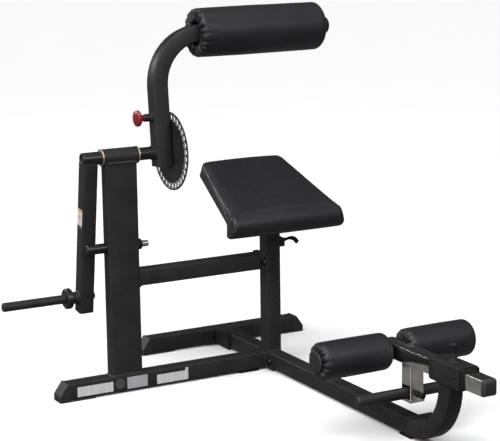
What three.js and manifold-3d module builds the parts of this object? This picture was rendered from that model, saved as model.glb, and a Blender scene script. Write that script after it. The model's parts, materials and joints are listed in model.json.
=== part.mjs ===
// Plate-loaded roman chair for abdominal and lower-back work.
// Millimetres, +Z up. X runs along the pivot axle and the rollers, -Y points to the leg holder.
// While it is built, x = 0 is the middle of the main beam and y = 0 the plane of the pivot.
// The last lines move the finished group so that the origin is the middle of its footprint.

import * as THREE from 'three';
import { mergeVertices } from 'three/addons/utils/BufferGeometryUtils.js';
import Module from 'manifold-3d';

const wasm = await Module();
wasm.setup();

// ---------------------------------------------------------------- driving dimensions

const GAP = 0.3;                    // left between pieces that touch
const TUBE = 50;                    // square frame tube, outside
const WALL = 3;                     // wall of the frame tubes
const CORNER = 6;                   // outside corner radius of the frame tubes
const PAD = 5;                      // height of the rubber soles
const TUBE_MID = PAD + TUBE / 2;    // height of the middle of a floor tube
const TUBE_TOP = PAD + TUBE;        // height of the top of a floor tube
const PLATE = 6;                    // flange plate thickness
const BOLT_HOLE = 5.2;              // radius of the hole for a frame bolt

const BEAM_FRONT = -808;            // end of the main beam at the leg tube's flange
const REAR_FOOT_Y = 337;
const REAR_FOOT_HALF = 270;         // half the length of the rear foot's tube
const FRONT_FOOT_LEFT = -698;
// An end cap: its nose, the flat on top, the height of the chamfer's foot, its sole, its plug
const CAP = { nose: 30, flat: 5, chamfer: 20, sole: 84, plug: 22 };

// Bolted flanges: their size, how far their middle is off the tube's, and their bolt holes
const FOOT_FLANGE = { length: 104, offset: -11, bolts: [-48, 30] };
const CROSS_FLANGE = { length: 84, bolts: [-34, 34] };
const LEG_FLANGE = { width: 84, height: 54, x: 17, z: 2, boltX: 44, bolts: [-14, 18] };
const REAR_BRACKET = { half: 74, cheek: 82, bottom: 2, top: 57, bolts: [-52, 52] };

const UPRIGHT = { x: -506, width: 100, depth: 40 };
const PIVOT_Z = 718;
const AXLE_R = 19;
const HOUSING = { outer: 24.5, inner: 21.6, length: 112 };
const BUSHING = { deep: 32, flange: 3.5 };
const STUB_R = 12.5;                // thin end of the axle, inside the roller arm
const STUB_END = 17;                // how far the stub passes the selector disc's near face

const WEIGHT_ARM = { x: -602.5, size: 45, tilt: 8.6, end: 473 };  // tilt puts its foot to the rear
const POST = { r: 13.5, down: 431, tip: -863 };
const POST_HUB = { r: 18, length: 22 };
const POST_BUMPER = { r: 31, length: 19 };
const POST_BOLT = { r: 5, length: 30, washer: 15, head: 9.8 };
const STOP = { y: 2.8, z: 446, r: 15.2, rod: 9.5, deep: 56 };

const ARM_X = -366;                 // middle of the roller arm
const ARM_TILT = -5;                // degrees, upper end to the rear
const ARM_FOOT = -42;               // lower end of the arm, from the pivot
const ARM_BEND = 151;               // centreline radius of the arm's bend
const ARM_HUB_R = 18;
const ROLLER_UP = 346;              // pivot to the upper roller's axis
const ROLLER = { r: 74, left: -235, right: 192, core: 24, shaft: 15, recess: 42, recessDepth: 26 };
const ROLLER_CAP = { r: 24, from: 208, to: 225 };
const DISC = { r: 118, thick: 3, x: ARM_X + TUBE / 2 + 3, holes: 32, circle: 105, hole: 6.5 };

const CROSSBAR_Z = 347.5;
const SEAT_POST_TOP = 440;
const SEAT_POST_WALL = 2.5;
const SEAT_TUBE = 40;
const INNER_POST_FOOT = 250;
const SEAT = { tilt: 23, y: 36, z: 581, half: 158, thick: 46, back: 133, front: 190, roll: 37, round: 16 };
const BOARD = { thick: 10, inset: 22 };
const LEVER = { x: 38, z: 398, pin: 3, hub: 8 };

const LEG_BEND = 152;               // centreline radius of the leg tube's bend
const LEG_BEND_Y = -820.5;
const SLEEVE = { outer: 62, wall: 3.2, rear: -917, front: -1050, z: 228 };
const SLIDE = { size: 45, wall: 3, rear: -665, front: -1136, z: 226, pitch: 35 };
const SLIDE_CAP = { depth: 10, round: 9 };
const CALF = { y: -701, z: 223, r: 51, inner: 24, outer: 253, disc: 31, axle: 10, core: 15 };
const BRACKET = { y: -793.5, width: 44, depth: 45, bottom: 100, plate: 8, wall: 3, notch: 147 };
const FOOT_BAR = { r: 16, wall: 2.5, half: 179, z: 124.2 };
const LEG_PIN = { y: -985, r: 4, top: 46 };

// ---------------------------------------------------------------- materials

const finish = (color, roughness, metalness) =>
  new THREE.MeshStandardMaterial({ color, roughness, metalness });

const POWDER = finish(0x26272a, 0.5, 0.2);
const VINYL = finish(0x2c2d31, 0.55, 0);
const PLASTIC = finish(0x1b1b1d, 0.5, 0);
const RUBBER = finish(0x171717, 0.8, 0);
const CHROME = finish(0xc4c2be, 0.25, 1);
const BRONZE = finish(0xcbb894, 0.45, 0.6);
const RED = finish(0x8e2c2f, 0.3, 0);
const ZINC = finish(0x9a9a98, 0.4, 1);
const WOOD = finish(0x7a5c3c, 0.8, 0);

// ---------------------------------------------------------------- shape helpers

const X_AXIS = new THREE.Vector3(1, 0, 0);
const Y_AXIS = new THREE.Vector3(0, 1, 0);
const Z_AXIS = new THREE.Vector3(0, 0, 1);

function circlePoints(radius, sides, x = 0, y = 0) {
  const points = [];
  for (let i = 0; i < sides; i += 1) {
    const angle = (2 * Math.PI * i) / sides;
    points.push(new THREE.Vector2(x + radius * Math.cos(angle), y + radius * Math.sin(angle)));
  }
  return points;
}

// A rounded rectangle, corner by corner, anticlockwise.
function roundRect(width, height, radius, steps = 3) {
  const points = [];
  const corners = [[1, 1], [-1, 1], [-1, -1], [1, -1]];
  corners.forEach(([sx, sy], corner) => {
    for (let i = 0; i <= steps; i += 1) {
      const angle = (corner + i / steps) * (Math.PI / 2);
      points.push(new THREE.Vector2(
        sx * (width / 2 - radius) + radius * Math.cos(angle),
        sy * (height / 2 - radius) + radius * Math.sin(angle),
      ));
    }
  });
  return points;
}

// Extrudes an outline, with holes, along +X, +Y or +Z. The outline's own axes are
// (y, z) for X, (x, z) for Y and (x, y) for Z.
function prism(outline, holes, from, to, axis = 'z') {
  const shape = new THREE.Shape(outline);
  holes.forEach((hole) => shape.holes.push(new THREE.Path(hole)));
  const geometry = new THREE.ExtrudeGeometry(shape, { depth: to - from, bevelEnabled: false });
  geometry.translate(0, 0, from);
  if (axis === 'x') {
    geometry.applyMatrix4(new THREE.Matrix4().makeBasis(Y_AXIS, Z_AXIS, X_AXIS));
  }
  if (axis === 'y') {
    // (x, z, y) is left-handed, so the outline is turned instead of swapped
    geometry.rotateX(Math.PI / 2);
    geometry.translate(0, from + to, 0);
  }
  return geometry;
}

function box(x0, x1, y0, y1, z0, z1) {
  const geometry = new THREE.BoxGeometry(x1 - x0, y1 - y0, z1 - z0);
  return geometry.translate((x0 + x1) / 2, (y0 + y1) / 2, (z0 + z1) / 2);
}

function squareTube(width, height, wall, from, to, axis, corner = CORNER) {
  const inside = roundRect(width - 2 * wall, height - 2 * wall, Math.max(corner - wall, 1));
  return prism(roundRect(width, height, corner), [inside], from, to, axis);
}

function rod(radius, from, to, axis, sides = 28) {
  return prism(circlePoints(radius, sides), [], from, to, axis);
}

function pipe(outer, inner, from, to, axis, sides = 28) {
  return prism(circlePoints(outer, sides), [circlePoints(inner, sides)], from, to, axis);
}

// The points of an outline's corner, rounded: from `before` through `corner` to `after`.
function roundedCorner(before, corner, after, radius, steps = 4) {
  const from = corner.clone().add(before.clone().sub(corner).setLength(radius));
  const to = corner.clone().add(after.clone().sub(corner).setLength(radius));
  return new THREE.QuadraticBezierCurve(from, corner, to).getPoints(steps);
}

// Turns a profile of [radius, distance along the axis] pairs round an axis.
// A solid's profile starts and ends at radius 0, and a ring's closes on itself.
// Either direction will do: the profile is reversed where its faces would point in.
function turned(profile, axis, sides = 28) {
  const points = profile.map(([r, s]) => new THREE.Vector2(r, s));
  if (THREE.ShapeUtils.area(points) < 0) {
    points.reverse();
  }
  const geometry = new THREE.LatheGeometry(points, sides);
  if (axis === 'x') {
    geometry.rotateZ(-Math.PI / 2);
  }
  if (axis === 'z') {
    geometry.rotateX(Math.PI / 2);
  }
  return geometry;
}

function ringProfile(points) {
  return [...points, points[0]];
}

// A hollow square tube through stations, each { at, u, v }: the section's two directions.
function sweptTube(size, wall, stations, corner = CORNER) {
  const outer = roundRect(size, size, corner);
  const inner = roundRect(size - 2 * wall, size - 2 * wall, Math.max(corner - wall, 1));
  const sides = outer.length;
  const positions = [];
  const index = [];
  stations.forEach(({ at, u, v }) => {
    [...outer, ...inner].forEach((p) => {
      const point = at.clone().addScaledVector(u, p.x).addScaledVector(v, p.y);
      positions.push(point.x, point.y, point.z);
    });
  });
  const quad = (a, b, c, d) => index.push(a, b, c, a, c, d);
  for (let i = 0; i < sides; i += 1) {
    const j = (i + 1) % sides;
    for (let s = 0; s + 1 < stations.length; s += 1) {
      const here = s * 2 * sides;
      const next = here + 2 * sides;
      quad(here + i, here + j, next + j, next + i);
      quad(here + sides + j, here + sides + i, next + sides + i, next + sides + j);
    }
    const last = (stations.length - 1) * 2 * sides;
    quad(i + sides, j + sides, j, i);
    quad(last + i, last + j, last + sides + j, last + sides + i);
  }
  const geometry = new THREE.BufferGeometry();
  geometry.setAttribute('position', new THREE.Float32BufferAttribute(positions, 3));
  geometry.setIndex(index);
  return geometry;
}

// A solid round bar through a list of points.
function bentRod(radius, points, sides, steps) {
  const path = new THREE.CatmullRomCurve3(points, false, 'centripetal');
  const shape = new THREE.Shape(circlePoints(radius, sides));
  return new THREE.ExtrudeGeometry(shape, { steps, bevelEnabled: false, extrudePath: path });
}

// ---------------------------------------------------------------- joins and cuts

function toSolid(geometry) {
  const bare = new THREE.BufferGeometry();
  bare.setAttribute('position', geometry.getAttribute('position'));
  bare.setIndex(geometry.index);
  const merged = mergeVertices(bare, 1e-3);
  return new wasm.Manifold(new wasm.Mesh({
    numProp: 3,
    vertProperties: new Float32Array(merged.getAttribute('position').array),
    triVerts: new Uint32Array(merged.index.array),
  }));
}

function toGeometry(solid) {
  const mesh = solid.getMesh();
  const geometry = new THREE.BufferGeometry();
  geometry.setAttribute('position', new THREE.BufferAttribute(mesh.vertProperties, 3));
  geometry.setIndex(new THREE.BufferAttribute(mesh.triVerts, 1));
  return geometry;
}

function cut(geometry, ...tools) {
  return toGeometry(tools.reduce((solid, tool) => solid.subtract(toSolid(tool)), toSolid(geometry)));
}

function join(geometry, ...others) {
  return toGeometry(others.reduce((solid, other) => solid.add(toSolid(other)), toSolid(geometry)));
}

function common(geometry, other) {
  return toGeometry(toSolid(geometry).intersect(toSolid(other)));
}

// ---------------------------------------------------------------- placing

const model = new THREE.Group();

function add(name, geometry, material, position = [0, 0, 0], parent = model) {
  const mesh = new THREE.Mesh(geometry, material);
  mesh.name = name;
  mesh.position.set(...position);
  parent.add(mesh);
}

// A group that stands at a point and is tilted about X, for pieces on one tilted member.
function tiltedGroup(position, degrees) {
  const group = new THREE.Group();
  group.position.set(...position);
  group.rotation.x = THREE.MathUtils.degToRad(degrees);
  model.add(group);
  return group;
}

// ---------------------------------------------------------------- base frame

// Cutters for a row of bolt holes: `across` places each one, seen as [x, y, z].
function boltHoles(places, from, to, axis, across) {
  return places.map((place) => {
    const hole = rod(BOLT_HOLE, from - 1, to + 1, axis, 12);
    return hole.translate(...across(place));
  });
}

// The end cap of a floor tube: a wedge nose with a sole that runs back under the tube.
// Its tube ends at x = 0 and runs to +X.
function endCap() {
  const nose = [
    [-CAP.nose, 0], [-CAP.nose, CAP.chamfer], [-CAP.flat, TUBE_TOP], [0, TUBE_TOP], [0, 0],
  ];
  const outline = nose.map(([x, z]) => new THREE.Vector2(x, z));
  const wedge = prism(outline, [], -TUBE / 2, TUBE / 2, 'y');
  const sole = box(-1, CAP.sole, -TUBE / 2, TUBE / 2, 0, PAD - GAP);
  const bore = TUBE - 2 * WALL - 2 * GAP;
  const plug = prism(roundRect(bore, bore, CORNER - WALL), [], -1, CAP.plug, 'x');
  plug.translate(0, 0, TUBE_MID);
  return join(wedge, sole, plug);
}

function buildRearFoot() {
  const tube = squareTube(TUBE, TUBE, WALL, -REAR_FOOT_HALF, REAR_FOOT_HALF, 'x');
  add('rear_foot', tube, POWDER, [0, REAR_FOOT_Y, TUBE_MID]);
  const capX = REAR_FOOT_HALF + GAP;
  add('rear_cap_left', endCap(), PLASTIC, [-capX, REAR_FOOT_Y, 0]);
  add('rear_cap_right', endCap().rotateZ(Math.PI), PLASTIC, [capX, REAR_FOOT_Y, 0]);
}

function buildFrontFoot() {
  const face = -TUBE / 2 - GAP;
  const tube = squareTube(TUBE, TUBE, WALL, FRONT_FOOT_LEFT, face - PLATE + 1, 'x');
  const flange = prism(roundRect(FOOT_FLANGE.length, TUBE, 4), [], face - PLATE, face, 'x');
  flange.translate(0, FOOT_FLANGE.offset, 0);
  const holes = boltHoles(FOOT_FLANGE.bolts, face - PLATE, face, 'x', (y) => [0, y, 0]);
  add('front_foot', cut(join(tube, flange), ...holes), POWDER, [0, 0, TUBE_MID]);
  add('front_cap', endCap(), PLASTIC, [FRONT_FOOT_LEFT - GAP, 0, 0]);
  add('front_pad', box(-34, 34, -TUBE / 2, TUBE / 2, 0, PAD - GAP), RUBBER, [-92, 0, 0]);
}

// The flange where the leg tube is bolted to the main beam, seen from the beam's middle.
function legFlange(from, to) {
  const { width, height, x, z, boltX, bolts } = LEG_FLANGE;
  const plate = prism(roundRect(width, height, 4), [], from, to, 'y').translate(x, 0, z);
  return cut(plate, ...boltHoles(bolts, from, to, 'y', (up) => [boltX, 0, up]));
}

function buildBeam() {
  const rearEnd = REAR_FOOT_Y - TUBE / 2 - PLATE - 2 * GAP;
  const tube = squareTube(TUBE, TUBE, WALL, BEAM_FRONT + PLATE - 1, rearEnd, 'y');
  const flange = legFlange(BEAM_FRONT, BEAM_FRONT + PLATE);
  add('main_beam', join(tube, flange), POWDER, [0, 0, TUBE_MID]);
  add('beam_pad', box(-25, 25, -28, 28, 0, PAD - GAP), RUBBER, [0, BEAM_FRONT + 14, 0]);
}

// A plate in front of the rear foot, with two cheeks that hold the main beam between them.
function buildRearBracket() {
  const { half, cheek, bottom, top, bolts } = REAR_BRACKET;
  const back = REAR_FOOT_Y - TUBE / 2 - GAP;
  const inside = TUBE / 2 + GAP;
  const plate = box(-half, half, back - PLATE, back, bottom + PLATE, top - 5);
  const right = box(inside, inside + PLATE, back - cheek, back - 1, bottom, top);
  const left = box(-inside - PLATE, -inside, back - cheek, back - 1, bottom, top);
  const holes = boltHoles(bolts, back - PLATE, back, 'y', (x) => [x, 0, TUBE_MID]);
  add('rear_bracket', cut(join(plate, right, left), ...holes), POWDER);
}

function buildUpright() {
  const { x, width, depth } = UPRIGHT;
  const tube = squareTube(width, depth, WALL, TUBE_TOP + GAP, PIVOT_Z, 'z', 5);
  const cope = rod(HOUSING.outer + GAP, -width, width, 'x', 36).translate(0, 0, PIVOT_Z);
  const stopHole = rod(STOP.rod + GAP, -width, width, 'x', 20).translate(0, STOP.y, STOP.z);
  add('upright', cut(tube, cope, stopHole), POWDER, [x, 0, 0]);

  const half = HOUSING.length / 2;
  const housing = pipe(HOUSING.outer, HOUSING.inner, -half, half, 'x', 36);
  add('pivot_housing', housing, POWDER, [x, 0, PIVOT_Z]);
}

function buildBushings() {
  const { deep, flange } = BUSHING;
  const bore = AXLE_R + GAP;
  const profile = ringProfile([
    [bore, -deep], [bore, flange], [HOUSING.outer + 1, flange], [HOUSING.outer + 1, GAP],
    [HOUSING.inner - GAP, GAP], [HOUSING.inner - GAP, -deep],
  ]);
  const half = HOUSING.length / 2;
  add('bushing_right', turned(profile, 'x', 32), BRONZE, [UPRIGHT.x + half, 0, PIVOT_Z]);
  const mirrored = turned(profile, 'x', 32).rotateZ(Math.PI);
  add('bushing_left', mirrored, BRONZE, [UPRIGHT.x - half, 0, PIVOT_Z]);
}

// A bar through the upright. The weight arm rests against the sleeve on its left end.
function buildStop() {
  const left = UPRIGHT.x - UPRIGHT.width / 2;
  const right = UPRIGHT.x + UPRIGHT.width / 2;
  const { rod: bar, deep, r } = STOP;
  const collar = bar + 6;
  const rodProfile = [
    [0, left - deep], [bar, left - deep], [bar, right + GAP], [collar - 1, right + GAP],
    [collar, right + 3], [collar, right + 13], [bar, right + 14], [bar, right + 36],
    [bar - 2, right + 38], [0, right + 38],
  ];
  add('stop_rod', turned(rodProfile, 'x', 20), CHROME, [0, STOP.y, STOP.z]);
  const bore = bar + GAP;
  const sleeve = [
    [0, left - deep - 8], [r - 4, left - deep - 7], [r, left - deep - 3], [r, left - GAP],
    [bore, left - GAP], [bore, left - deep - GAP], [0, left - deep - GAP],
  ];
  add('stop_sleeve', turned(sleeve, 'x', 24), RUBBER, [0, STOP.y, STOP.z]);
}

function buildCrossbar() {
  const left = UPRIGHT.x + UPRIGHT.width / 2 + GAP;
  const face = -TUBE / 2 - PLATE - GAP;
  const tube = squareTube(TUBE, TUBE, WALL, left, face - PLATE + 1, 'x');
  const flange = prism(roundRect(CROSS_FLANGE.length, TUBE, 4), [], face - PLATE, face, 'x');
  const holes = boltHoles(CROSS_FLANGE.bolts, face - PLATE, face, 'x', (y) => [0, y, 0]);
  add('crossbar', cut(join(tube, flange), ...holes), POWDER, [0, 0, CROSSBAR_Z]);
}

// ---------------------------------------------------------------- seat

function buildSeatPost() {
  const tube = squareTube(TUBE, TUBE, SEAT_POST_WALL, TUBE_TOP + GAP, SEAT_POST_TOP, 'z');
  const face = -TUBE / 2;
  const lug = prism(roundRect(CROSS_FLANGE.length, TUBE, 4), [], face - PLATE, face + 1, 'x');
  const holes = boltHoles(CROSS_FLANGE.bolts, face - PLATE, face, 'x', (y) => [0, y, 0]);
  const bore = TUBE - 2 * SEAT_POST_WALL;
  const inside = box(-bore / 2, bore / 2, -bore / 2, bore / 2, -TUBE, TUBE);
  const flange = cut(lug, inside, ...holes).translate(0, 0, CROSSBAR_Z);
  add('seat_post', join(tube, flange), POWDER);
}

// The plastic guide that the inner post slides in.
function buildSeatCollar() {
  const fill = TUBE - 2 * SEAT_POST_WALL - 2 * GAP;
  const liner = squareTube(fill, fill, 1.8, -48, 1, 'z', 3.5);
  const bore = SEAT_TUBE + 2 * GAP;
  const lip = squareTube(TUBE, TUBE, (TUBE - bore) / 2, GAP, 6, 'z');
  add('seat_post_collar', join(liner, lip), PLASTIC, [0, 0, SEAT_POST_TOP]);
}

function buildLeverBracket() {
  const face = TUBE / 2 + GAP;
  const reach = LEVER.x + 10;
  const channel = [
    [face, -11], [reach, -11], [reach, -7], [face + 3, -7], [face + 3, 7], [reach, 7], [reach, 11],
    [face, 11],
  ];
  const ears = prism(channel.map(([x, y]) => new THREE.Vector2(x, y)), [], -14, 14, 'z');
  const pinHole = rod(LEVER.pin + GAP, -20, 20, 'y', 12).translate(LEVER.x, 0, 0);
  add('lever_bracket', cut(ears, pinHole), POWDER, [0, 0, LEVER.z]);
  const pin = turned([
    [0, -13], [5, -13], [5, -11.3], [LEVER.pin, -11.3], [LEVER.pin, 13], [0, 13],
  ], 'y', 12);
  add('lever_pin', pin, ZINC, [LEVER.x, 0, LEVER.z]);
}

function buildSeatLever() {
  const hub = rod(LEVER.hub, -6, 6, 'y', 16);
  const route = [[3, 0], [21, 5.5], [38, 8], [51, 3], [61, -8]];
  const points = route.map(([x, z]) => new THREE.Vector3(x, 0, z));
  const handle = bentRod(5, points, 8, 10);
  const grip = bentRod(7, points.slice(2), 10, 6);
  const bore = rod(LEVER.pin + GAP, -20, 20, 'y', 12);
  add('seat_lever', cut(join(hub, handle, grip), bore), PLASTIC, [LEVER.x, 0, LEVER.z]);
}

// The seat's outline from above: wide in front, narrow and rounded at the back.
function seatPlan() {
  const { half, back, front, roll, round } = SEAT;
  const corner = (x, y) => new THREE.Vector2(x, y);
  const nose = corner(front, -half - roll - 4);
  const hip = corner(front, -half);
  const backRight = corner(back, half);
  const backLeft = corner(-back, half);
  const mirror = (point) => corner(-point.x, point.y);
  return [
    mirror(nose), nose, hip,
    ...roundedCorner(hip, backRight, backLeft, round),
    ...roundedCorner(backRight, backLeft, mirror(hip), round),
    mirror(hip),
  ];
}

// The seat's section from the side: a slab whose front end rolls down.
function seatSection() {
  const { half, thick, roll } = SEAT;
  const points = [];
  for (let i = 0; i <= 8; i += 1) {
    const angle = Math.PI / 2 + (Math.PI * i) / 8;
    points.push(new THREE.Vector2(-half + roll * Math.cos(angle), -roll + roll * Math.sin(angle)));
  }
  points.push(new THREE.Vector2(-half + 26, -thick), new THREE.Vector2(half, -thick));
  points.push(new THREE.Vector2(half, -9), new THREE.Vector2(half - 9, 0));
  return points;
}

// The seat's own group lies in the plane of its top: +Y to the narrow rear end, z = 0 at the top.
function buildSeatPad() {
  const seat = tiltedGroup([0, SEAT.y, SEAT.z], SEAT.tilt);
  const { half, thick, back, front, roll } = SEAT;
  const plan = prism(seatPlan(), [], -2 * roll - 10, 10, 'z');
  const section = prism(seatSection(), [], -front - 5, front + 5, 'x');
  add('seat_pad', common(section, plan), VINYL, [0, 0, 0], seat);

  const wide = front - BOARD.inset;
  const narrow = back - BOARD.inset;
  const outline = [[-wide, -half + 32], [wide, -half + 32], [narrow, half - 16], [-narrow, half - 16]];
  const top = -thick - GAP;
  const points = outline.map(([x, y]) => new THREE.Vector2(x, y));
  add('seat_board', prism(points, [], top - BOARD.thick, top, 'z'), WOOD, [0, 0, 0], seat);
}

// The square tube under the seat, cut to the seat's slope, with the plate that the board sits on.
function buildInnerPost() {
  const slope = THREE.MathUtils.degToRad(SEAT.tilt);
  const toModel = (geometry) => geometry.rotateX(slope).translate(0, SEAT.y, SEAT.z);
  const top = -SEAT.thick - BOARD.thick - 2 * GAP;
  const above = toModel(box(-200, 200, -300, 300, top - 2, top + 300));
  const tube = squareTube(SEAT_TUBE, SEAT_TUBE, 2.5, INNER_POST_FOOT, SEAT.z, 'z', 4);
  const plate = toModel(prism(roundRect(110, 190, 10), [], top - 5, top, 'z').translate(0, -14, 0));
  add('seat_inner_post', join(cut(tube, above), plate), POWDER);
}

// ---------------------------------------------------------------- pivoting lever

function buildAxle() {
  const tip = WEIGHT_ARM.x - WEIGHT_ARM.size / 2;
  const shoulder = ARM_X - TUBE / 2 - 9;
  const end = DISC.x + STUB_END;
  const profile = [
    [0, tip + 3], [13, tip + 3], [14, tip], [AXLE_R - 2, tip], [AXLE_R, tip + 2],
    [AXLE_R, shoulder], [STUB_R, shoulder], [STUB_R, end], [0, end],
  ];
  add('axle', turned(profile, 'x', 32), POWDER, [0, 0, PIVOT_Z]);
}

function buildWeightArm(arm) {
  const { size, end } = WEIGHT_ARM;
  const tube = squareTube(size, size, WALL, -end, -13, 'z');
  const cope = rod(AXLE_R + GAP, -40, 40, 'x', 32);
  const postHole = rod(POST.r + GAP, -40, 40, 'x', 24).translate(0, 0, -POST.down);
  add('weight_arm', cut(tube, cope, postHole), POWDER, [0, 0, 0], arm);
  const bore = size - 2 * WALL - 2 * GAP;
  const plug = join(
    prism(roundRect(bore, bore, CORNER - WALL), [], -1, 16, 'z'),
    prism(roundRect(size, size, CORNER), [], -4, 0, 'z'),
  );
  add('weight_arm_plug', plug, PLASTIC, [0, 0, -end - GAP], arm);
}

// The post that weight plates slide onto, with its hub, its bumper and the bolt that holds it.
function buildWeightPost(arm) {
  const side = WEIGHT_ARM.size / 2;
  const tip = POST.tip - WEIGHT_ARM.x;
  const at = [0, 0, -POST.down];
  const thread = POST_BOLT.r + GAP;
  const depth = side - POST_BOLT.length - 1;
  const profile = [
    [0, tip], [POST.r - 2.5, tip], [POST.r, tip + 2.5], [POST.r, side], [thread, side],
    [thread, depth], [0, depth],
  ];
  add('weight_post', turned(profile, 'x'), POWDER, at, arm);

  const bore = POST.r + GAP;
  const hubEnd = -side - GAP - POST_HUB.length;
  add('post_hub', pipe(POST_HUB.r, bore, hubEnd, -side - GAP, 'x'), POWDER, at, arm);
  const bumperEnd = hubEnd - GAP - POST_BUMPER.length;
  const rim = POST_BUMPER.r;
  const bumper = ringProfile([
    [bore, hubEnd - GAP], [bore, bumperEnd], [rim - 3, bumperEnd], [rim, bumperEnd + 3],
    [rim, hubEnd - GAP - 3], [rim - 3, hubEnd - GAP],
  ]);
  add('post_bumper', turned(bumper, 'x'), RUBBER, at, arm);
  const face = side + GAP;
  const bolt = join(
    rod(POST_BOLT.r, side - POST_BOLT.length, face + 1, 'x', 12),
    rod(POST_BOLT.washer, face, face + 2, 'x', 24),
    prism(circlePoints(POST_BOLT.head, 6), [], face + 1, face + 8, 'x'),
  );
  add('post_bolt', bolt, ZINC, at, arm);
}

// A disc on the axle with a ring of holes. The roller arm's pin picks one of them.
function buildSelectorDisc() {
  const bore = STUB_R + GAP;
  const holes = [circlePoints(bore, 20)];
  for (let i = 0; i < DISC.holes; i += 1) {
    const angle = (2 * Math.PI * i) / DISC.holes;
    const x = DISC.circle * Math.sin(angle);
    const y = DISC.circle * Math.cos(angle);
    holes.push(circlePoints(DISC.hole, 8, x, y));
  }
  const disc = prism(circlePoints(DISC.r, 64), holes, 0, DISC.thick, 'x');
  disc.rotateX(THREE.MathUtils.degToRad(ARM_TILT));
  add('selector_disc', disc, POWDER, [DISC.x, 0, PIVOT_Z]);
  const nut = prism(circlePoints(21, 6), [circlePoints(bore, 20)], 0, 12, 'x');
  add('axle_nut', nut, ZINC, [DISC.x + DISC.thick + GAP, 0, PIVOT_Z]);
}

// ---------------------------------------------------------------- roller arm

// Stations of the arm's tube: up the arm and round the bend, to lie along the roller's axis.
function armStations() {
  const stations = [{ at: new THREE.Vector3(0, 0, ARM_FOOT), u: X_AXIS, v: Y_AXIS }];
  const steps = 12;
  for (let i = 0; i <= steps; i += 1) {
    const angle = (Math.PI / 2) * (i / steps);
    const x = ARM_BEND * (1 - Math.cos(angle));
    const z = ROLLER_UP - ARM_BEND + ARM_BEND * Math.sin(angle);
    const u = new THREE.Vector3(Math.cos(angle), 0, -Math.sin(angle));
    stations.push({ at: new THREE.Vector3(x, 0, z), u, v: Y_AXIS });
  }
  return stations;
}

function buildRollerArm(arm) {
  const side = TUBE / 2;
  const hubHole = rod(ARM_HUB_R + GAP, -40, 40, 'x');
  const pinHole = rod(6, -40, 40, 'x', 16).translate(0, 0, DISC.circle);
  const tube = sweptTube(TUBE, WALL, armStations());
  add('roller_arm', cut(tube, hubHole, pinHole), POWDER, [0, 0, 0], arm);

  const bore = STUB_R + GAP;
  const near = DISC.x - ARM_X - 0.6;
  const hub = ringProfile([
    [bore, -side - 8.4], [22, -side - 8.4], [23, -side - 7.4], [23, -side - GAP],
    [ARM_HUB_R, -side - GAP], [ARM_HUB_R, near], [bore, near],
  ]);
  add('arm_hub', turned(hub, 'x'), POWDER, [0, 0, 0], arm);
}

// The spring pin that locks the roller arm to a hole in the selector disc.
function buildArmPin(arm) {
  const side = TUBE / 2;
  const at = [0, 0, DISC.circle];
  const collar = -side - 9;
  const barrel = ringProfile([
    [5.4, collar], [12, collar], [13.5, collar + 1.5], [13.5, -side - GAP], [5.4, -side - GAP],
  ]);
  add('arm_pin_barrel', turned(barrel, 'x', 20), POWDER, at, arm);
  const tip = DISC.x - ARM_X - 0.6;
  const head = -side - 46.5;
  const pin = turned([[0, head], [5, head], [5, tip - 1], [4, tip], [0, tip]], 'x', 16);
  add('arm_pin', pin, ZINC, at, arm);
  const knob = turned([
    [0, head - 10], [16, head - 9], [23, head - 5.5], [24.5, head - 1], [23.5, head + 4],
    [17, head + 8], [11, head + 12], [9.5, head + 17], [10.5, collar - 1], [5.3, collar - 1],
    [5.3, head - GAP], [0, head - GAP],
  ], 'x', 24);
  add('arm_pin_knob', knob, RED, at, arm);
}

function buildUpperRoller(arm) {
  const { r, left, right, core, shaft, recess, recessDepth } = ROLLER;
  const at = [0, 0, ROLLER_UP];
  const armEnd = ARM_BEND + GAP;
  const shaftEnd = ROLLER_CAP.from - GAP - ARM_X;
  const plate = prism(roundRect(44, 44, 5), [], armEnd, armEnd + 4, 'x');
  add('roller_shaft', join(rod(shaft, armEnd + 1, shaftEnd, 'x'), plate), ZINC, at, arm);
  const capFrom = ROLLER_CAP.from - ARM_X;
  const capTo = ROLLER_CAP.to - ARM_X;
  const rim = ROLLER_CAP.r;
  const cap = turned([
    [0, capTo], [rim - 4, capTo], [rim, capTo - 4], [rim, capFrom], [0, capFrom],
  ], 'x');
  add('roller_end_cap', cap, PLASTIC, at, arm);

  const from = left - ARM_X;
  const to = right - ARM_X;
  const floor = from + recessDepth;
  add('upper_roller_core', pipe(core, shaft + 0.6, floor, capFrom - 1, 'x'), PLASTIC, at, arm);
  const foam = ringProfile([
    [core + GAP, floor + 1], [core + GAP, to - 4], [r - 14, to], [r - 4, to - 4],
    [r, to - 14], [r, from + 14], [r - 4, from + 4], [r - 14, from], [recess, from + 2],
    [recess, floor + 1],
  ]);
  add('upper_roller', turned(foam, 'x', 32), VINYL, at, arm);
}

// ---------------------------------------------------------------- leg holder

// Stations of the leg tube: from the beam's flange, round the bend and up to the sleeve.
function legStations() {
  const start = new THREE.Vector3(0, BEAM_FRONT - GAP - 2, TUBE_MID);
  const stations = [{ at: start, u: X_AXIS, v: Z_AXIS }];
  const centreZ = TUBE_MID + LEG_BEND;
  const steps = 12;
  for (let i = 0; i <= steps; i += 1) {
    const angle = (Math.PI / 2) * (i / steps);
    const y = LEG_BEND_Y - LEG_BEND * Math.sin(angle);
    const z = centreZ - LEG_BEND * Math.cos(angle);
    const v = new THREE.Vector3(0, Math.sin(angle), Math.cos(angle));
    stations.push({ at: new THREE.Vector3(0, y, z), u: X_AXIS, v });
  }
  const top = SLEEVE.z - SLEEVE.outer / 2 - GAP;
  const end = new THREE.Vector3(0, LEG_BEND_Y - LEG_BEND, top);
  stations.push({ at: end, u: X_AXIS, v: Y_AXIS });
  return stations;
}

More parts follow.
